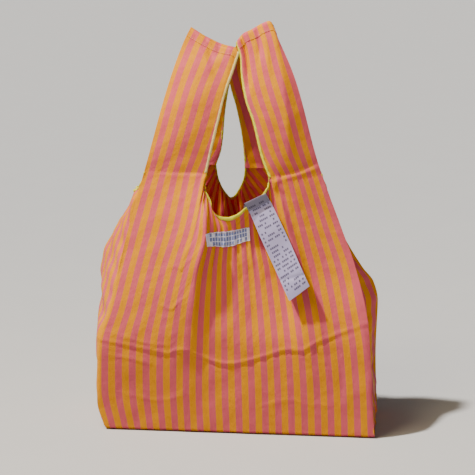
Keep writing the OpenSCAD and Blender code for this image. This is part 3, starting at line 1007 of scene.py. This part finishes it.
def care_label(tree):
    """The care label: over the neck's edge, then hanging free at a slant, creased across near the end."""
    w, length = CARE_SIZE
    u, t = np.meshgrid(np.linspace(0, w, 25), np.linspace(0, length, 97))
    lean = math.radians(CARE_LEAN) + 0.20 * t / length
    across = (u - w / 2) * (0.94 + 0.06 * smooth_step(t, 0, 60))
    x = CARE_AT[0] + across * np.cos(lean) + t * np.sin(math.radians(CARE_LEAN))
    z = CARE_AT[1] + across * np.sin(lean) - t * np.cos(math.radians(CARE_LEAN))
    raw = depths(tree, x, z)
    nearest = raw.min(axis=1)
    taut = np.interp(t[:, 0], t[[0, -1], 0], [nearest[0], nearest[-1]])[:, None]
    nearest = blurred(np.repeat(nearest[:, None], 3, axis=1), 60)[:, 1:2]
    stand_off = 1.8 + 3.5 * smooth_step(t, 14, 70) + 9.0 * smooth_step(t, 60, length)
    hang = np.minimum(nearest, taut) - stand_off
    fold = 1 - smooth_step(t, 0, 17)
    y = hang * (1 - fold) + (raw[10].min() - 6.5) * fold
    curl = 1.2 * np.sin(math.pi * u / w) * smooth_step(t, 10, 40)
    crease = 1.5 * np.exp(-np.abs(t - 122 - 0.35 * (u - w / 2)) / 2.2)
    crease += 0.8 * np.exp(-np.abs(t - 30 + 0.5 * u) / 2.5)
    wave = 0.9 * np.sin(t / 13.0 + u / 19) * smooth_step(t, 20, 60)
    p = np.stack([x, y - curl + crease + wave, z], axis=2)
    return p, grid_normals(p), np.stack([u, length - t], axis=2)


def care_tail(start_y):
    """The sewn end of the care label: it comes over the neck's edge and lies down the inside."""
    w = CARE_SIZE[0]
    u, t = np.meshgrid(np.linspace(0, w, 13), np.linspace(0, 1, 12))
    slant = math.radians(CARE_LEAN)
    x = CARE_AT[0] + (u - w / 2) * 0.94 * math.cos(slant) - 3.0 * t
    z = CARE_AT[1] + (u - w / 2) * 0.94 * math.sin(slant) + 1.5 * np.sin(math.pi * t) - 14.0 * t ** 1.6
    y = start_y + 9.5 * smooth_step(t, 0, 0.55)
    p = np.stack([x, y, z], axis=2)
    return p, grid_normals(p), np.stack([u, CARE_SIZE[1] + 14 * t], axis=2)


# ---- putting the bag together ----

SIDES = (
    ("left", slice(0, NECK_START + 1), LEFT),
    ("right", slice(NECK_END, NECK_END + STRAP_COLS + 1), RIGHT),
)
STRAP_FLAT = (HALF - INNER_EDGE[0], TOP_V - SPLIT_V)
TACK_ROWS, TACK_SPACING, TACK_BELOW, TACK_WIDTH = 9, 0.55, 4.2, 6.8
UP = np.array([0.0, 0.0, 1.0])
LEVEL = np.array([1.0, 1.0, 0.0])


def cut_area(uv):
    """Flat area of a grid's cut, in square metres."""
    a, b, c, d = uv[:-1, :-1], uv[:-1, 1:], uv[1:, 1:], uv[1:, :-1]
    x, y = c - a, d - b
    area = 0.5 * np.abs(x[..., 0] * y[..., 1] - x[..., 1] * y[..., 0])
    return float(area.sum()) * MM * MM


def place(piece, body, node):
    """Rides the piece on its body, or bakes a handle piece's transform into its mesh, and hides the frame
    part it stands in for.
    """
    if body in (LEFT, RIGHT):
        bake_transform(piece)
    else:
        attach(piece, body)
    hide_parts(node)


def add_sheet(name, grid, material, body, node, flat, area=None, thick=CLOTH_T):
    """A piece of cloth over a grid's points, normals and cloth coordinates. flat, its cut size in mm, is not
    used.
    """
    piece = cloth_piece(name, *grid, material, thick)
    place(piece, body, node)
    flat = (flat[0] * MM, flat[1] * MM)


def add_binding(stem, edge, inside, normal, size, material, body=BAG):
    """A bound edge along edge, rolled over the cloth that runs on to inside."""
    tape = sweep(f"{stem}_bound_edge", edge, unit(inside - edge), normal, size, material)
    place(tape, body, f"{stem}_binding")


def add_panel(which, p, n, uv, cloth):
    """The body of a panel and its two handle layers, as three sheets that meet where the handles leave."""
    body = (p[:LOW], n[:LOW], uv[:LOW])
    add_sheet(f"{which}_panel_cloth", body, cloth, BAG, f"{which}_panel",
              (2 * HALF, SPLIT_V), cut_area(body[2]))
    for side, columns, handle in SIDES:
        strap = tuple(a[BODY_ROWS:, columns] for a in (p, n, uv))
        add_sheet(f"{side}_{which}_strap_cloth", strap, cloth, handle,
                  f"{side}_{which}_strap", STRAP_FLAT, cut_area(strap[2]))


def add_gusset(side, front_crease, back_crease, pleat, bulge, seed, cloth, tape, thread):
    """A side pleat, its bound notch and the bar tack under it. Returns the pleat's points."""
    uv = gusset_cut()
    p, n = make_gusset(uv, front_crease, back_crease, pleat, bulge, seed)
    add_sheet(f"{side}_gusset_cloth", (p, n, uv), cloth, BAG, f"{side}_gusset",
              (2 * PLEAT, SPLIT_V), cut_area(uv))
    add_binding(f"{side}_gusset", p[-1], p[-3], n[-1], NOTCH_EDGE, tape)
    tip, tip_n = p[-1, GUSSET_COLS], n[-1, GUSSET_COLS]
    outward = tip_n * np.sign(tip_n[0] * pleat[0][0])
    add_bar_tack(side, tip, outward, unit(tip - p[-6, GUSSET_COLS]), thread)
    return p


def add_neck_and_linings(which, p, n, uv, lining_cloth, yellow, pale):
    """The bound edges of a panel's neckline and handles, and its handles' linings."""
    neck = slice(NECK_START, NECK_END + 1)
    add_binding(f"{which}_neck", p[BODY_ROWS, neck], p[BODY_ROWS - 4, neck], n[BODY_ROWS, neck],
                NECK_EDGE, yellow)
    for side, columns, handle in SIDES:
        strap, strap_n, strap_uv = (a[BODY_ROWS:, columns] for a in (p, n, uv))
        lining, lining_n = make_lining(strap, strap_n, strap_uv, 1 if which == "back" else -1)
        add_sheet(f"{side}_{which}_lining_cloth", (lining, lining_n, strap_uv), lining_cloth, handle,
                  f"{side}_{which}_strap_lining", STRAP_FLAT, cut_area(strap_uv))
        edge, inside = (-1, -3) if side == "left" else (0, 2)
        # The left front handle's bound edge takes the paler copy of the yellow overlock, which is painted
        # highlight.
        tape = pale if (side, which) == ("left", "front") else yellow
        add_binding(f"{side}_{which}_strap", strap[:, edge], strap[:, inside], strap_n[:, edge],
                    STRAP_EDGE, tape, handle)


def add_handle_tops(front, front_n, back, back_n, uv, cloth, thread):
    """Each handle's folded top seam and the two rows of topstitching that hold it."""
    for side, columns, handle in SIDES:
        f, fn, b, bn, strap_uv = (a[BODY_ROWS:, columns] for a in (front, front_n, back, -back_n, uv))
        p, cap_uv = handle_cap(f, fn, b, bn, strap_uv, 1.0)
        cap = cloth_piece(f"{side}_handle_top_seam", p, grid_normals(p), cap_uv, cloth, CAP_T)
        place(cap, handle, f"{side}_handle_seam")
        rows = []
        hems = ((p[0], p[1], fn[-CAP_ROWS]), (p[-1], p[-2], bn[-CAP_ROWS]))
        for k, (line, above, normal) in enumerate(hems):
            line = line + unit(above - line) * 1.0 + normal * 0.15
            rows.append(stitches(f"{side}_row_{k}", line[1:-1], normal[1:-1], thread,
                                 pitch=2.9, length=2.2, radius=0.17, lift=0.2))
        place(joined(f"{side}_handle_topstitching", rows), handle, f"{side}_handle_topstitch")


def add_labels(front, live, thread):
    """The woven label with its sewing, and the care label with its sewn end."""
    woven_cloth = marked_label("woven_label_cloth", WOVEN_COLOURS, (16, 3), WOVEN_SIZE,
                               fill=0.97, weight=0.42, crumple=0.5)
    care_cloth = marked_label("care_label_cloth", CARE_COLOURS, (13, 25), CARE_SIZE,
                              fill=0.55, weight=0.24, crumple=0.06, dark_top=CARE_FOLD)
    tree = cloth_front(front, live)
    p, n, uv = woven_label(tree)
    add_sheet("woven_label_cloth", (p, n, uv), woven_cloth, BAG, "woven_label", WOVEN_SIZE,
              None, WOVEN_T)
    ring, ring_n = (
        np.concatenate([a[2, 2:-2], a[2:-2, -3], a[-3, -3:1:-1], a[-3:1:-1, 2]]) for a in (p, n)
    )
    seam = stitches("woven_label_sewing", ring + ring_n * 0.2, ring_n, thread,
                    pitch=2.4, length=1.9, radius=0.2, lift=0.22, zigzag=0.25)
    place(seam, BAG, "woven_label_stitching")
    p, n, uv = care_label(tree)
    add_sheet("care_label_cloth", (p, n, uv), care_cloth, CARE, "care_label", CARE_SIZE,
              None, CARE_T)
    tail, tail_n, tail_uv = care_tail(p[0, :, 1].mean())
    add_sheet("care_label_tail_cloth", (tail, tail_n, tail_uv), care_cloth, BAG,
              "care_label_tail", (CARE_SIZE[0], CARE_TAIL), None, CARE_T)
    line, line_n = tail[6, 1:-1], tail_n[6, 1:-1]
    seam = stitches("care_label_sewing", line - line_n * 0.2, -line_n, thread,
                    pitch=2.6, length=2.0, radius=0.22, lift=0.25)
    place(seam, BAG, "care_label_stitching")


def add_base(front, back, left, right, cloth):
    """The base sheet, the rolled seam round it and the short upright seams at its four corners."""
    p, uv = base_sheet(front[0], back[0])
    add_sheet("base_cloth", (p, grid_normals(p), uv), cloth, BAG, "base_panel",
              (2 * HALF, 2 * PLEAT))
    around = np.concatenate([front[0], right[0][1:-1], back[0][::-1], left[0][::-1][1:-1]])
    around = np.concatenate([around, around[:1]])
    inward = unit(-around * LEVEL)
    line = around + UP + inward * 0.6
    up = np.tile(UP, (len(line), 1))
    roll = sweep("base_rolled_seam", line, inward, up, BASE_ROLL, cloth, loops=6.1, depth=0.05)
    place(roll, BAG, "base_seam")
    for side, edge in (("left", 0), ("right", -1)):
        parts = []
        for which, panel in (("front", front), ("back", back)):
            line = panel[:9, edge] + UP * 0.3
            inner = unit(UP * 20 - line)
            outward = np.cross(unit(line * LEVEL), UP)
            line = line + inner * 0.4
            parts.append(sweep(f"{side}_{which}_corner", line, inner, outward, CORNER_ROLL, cloth))
        seam = joined(f"{side}_base_corner_stitching", parts)
        place(seam, BAG, f"{side}_base_corner_seam")


def add_bar_tack(side, tip, tip_n, up, thread):
    """A bar tack at the foot of a side notch: a dense block of satin stitches across the binding."""
    across = unit(np.cross(tip_n, up))
    rows = []
    half = across * TACK_WIDTH / 2
    for k in range(TACK_ROWS):
        middle = tip + up * (k * TACK_SPACING - TACK_BELOW) + tip_n * 1.3
        path = np.stack([middle - half, middle, middle + half])
        rows.append(stitches(f"{side}_tack_{k}", path, np.tile(tip_n, (3, 1)), thread,
                             pitch=6.6, length=6.4, radius=0.3, lift=0.35))
    place(joined(f"{side}_gusset_bar_tack_stitching", rows), BAG, f"{side}_gusset_bar_tack")


def build_bag():
    """Every piece of the bag."""
    cloth = striped_cloth("striped_satin_cloth", 7.5)
    lining_cloth = striped_cloth("striped_lining_cloth", 4.0)
    side_cloth = striped_cloth("striped_side_cloth", 2.0)
    yellow = yarn("yellow_overlock", *YELLOW_YARN)
    # A paler copy of the yellow overlock, which is painted highlight.
    pale = yarn("painted_lit_yellow_overlock", *PAINTED_LIT_YELLOW_YARN)
    thread = yarn("cream_thread", *CREAM_YARN)

    uv, live = panel_cut()
    guide = panel_guide(uv, (LEFT_CREASE, RIGHT_CREASE), (LEFT_INNER, RIGHT_INNER),
                        front_neckline(), front_across, front_depth, -1)
    front, front_n = make_panel(uv, live, guide, FRONT_WRINKLES, seed=3, gather=0.62, folds=0.32, outward=1)
    guide = panel_guide(uv, (BACK_LEFT_CREASE, BACK_RIGHT_CREASE), (BACK_LEFT_INNER, BACK_RIGHT_INNER),
                        in_depth(BACK_NECK, 1), back_across, back_depth, 1)
    back, back_n = make_panel(uv, live, guide, BACK_WRINKLES, seed=7, gather=0.7, folds=0.06, outward=-1)
    front = turn_under(front, uv, -1)
    back = turn_under(back, uv, 1)
    add_panel("front", front, front_n, uv, cloth)
    add_panel("back", back, back_n, uv, cloth)
    gussets = [
        add_gusset(side, front[:LOW, edge], back[:LOW, edge], pleat, bulge, seed,
                   side_cloth, yellow, thread)
        for side, edge, pleat, bulge, seed in (
            ("left", 0, LEFT_PLEAT, 4.0, 21),
            ("right", -1, RIGHT_PLEAT, -4.0, 20),
        )
    ]
    add_base(front, back, *gussets, cloth)
    add_handle_tops(front, front_n, back, back_n, uv, cloth, thread)
    add_labels(front, live, thread)
    add_neck_and_linings("front", front, front_n, uv, lining_cloth, yellow, pale)
    add_neck_and_linings("back", back, back_n, uv, lining_cloth, yellow, pale)


# ---- floor, light and camera ----

FLOOR_RADIUS, FLOOR_BEND, WALL_TOP = 38000, 4000, 11000         # the backdrop's floor, bend and top, in mm

# Places in metres and angles in degrees.
TO_SUN = (-0.50, -0.19, 1.0)
FILL_AT, FILL_TOWARD = (-0.28, -0.42, 1.12), (-0.02, 0, 0.50)
CAMERA_AZIMUTH, CAMERA_ELEVATION, CAMERA_DISTANCE = 6, 12, 2.3
LOOK_AT, LENS, SHIFT = (0, 0, 0.285), 119.6, (-0.0137, -0.0141)


def add_light(name, kind, energy, colour, place_at, toward, **settings):
    data = bpy.data.lights.new(name, kind)
    data.energy = energy
    data.color = colour
    for key, value in settings.items():
        setattr(data, key, value)
    lamp = bpy.data.objects.new(name, data)
    lamp.location = place_at
    lamp.rotation_euler = toward.to_track_quat("-Z", "Y").to_euler()
    link(lamp)


def studio():
    """A pale floor that turns up into a backdrop, a soft key light, a warm fill and the camera."""
    around = 65
    angle = np.linspace(0, 2 * math.pi, around)
    bend = np.linspace(0, math.pi / 2, 9)[1:]
    radius = np.concatenate([[0, FLOOR_RADIUS], FLOOR_RADIUS + FLOOR_BEND * np.sin(bend),
                             [FLOOR_RADIUS + FLOOR_BEND]])
    height = np.concatenate([[0, 0], FLOOR_BEND - FLOOR_BEND * np.cos(bend), [WALL_TOP]])
    points = np.stack([np.outer(radius, np.cos(angle)), np.outer(radius, np.sin(angle)),
                       np.outer(height, np.ones(around))], axis=2)
    faces = grid_faces(len(radius), around)
    mesh_object("studio_sweep", points.reshape(-1, 3), faces, floor_material())

    to_sun = Vector(TO_SUN).normalized()
    sun_place = Vector((0, 0, 0.25)) + to_sun * 3
    add_light("key", "SUN", 7.0, (1.0, 0.95, 0.88), sun_place, -to_sun, angle=math.radians(2.5))
    to_handles = Vector(FILL_TOWARD) - Vector(FILL_AT)
    add_light("top_fill", "AREA", 8.0, (1.0, 0.80, 0.50), FILL_AT, to_handles, size=0.35)
    world = bpy.data.worlds.new("studio")
    world.use_nodes = True
    background = world.node_tree.nodes["Background"]
    background.inputs[0].default_value = (1.0, 0.96, 0.90, 1)
    background.inputs[1].default_value = 0.13
    bpy.context.scene.world = world

    azimuth, elevation = math.radians(CAMERA_AZIMUTH), math.radians(CAMERA_ELEVATION)
    level = math.cos(elevation)
    back = Vector((math.sin(azimuth) * level, -math.cos(azimuth) * level, math.sin(elevation)))
    data = bpy.data.cameras.new("camera")
    data.lens = LENS
    data.sensor_width = 36
    data.shift_x, data.shift_y = SHIFT
    camera = bpy.data.objects.new("camera", data)
    camera.location = Vector(LOOK_AT) + back * CAMERA_DISTANCE
    camera.rotation_euler = (-back).to_track_quat("-Z", "Y").to_euler()
    link(camera)
    bpy.context.scene.camera = camera


build_bag()
studio()
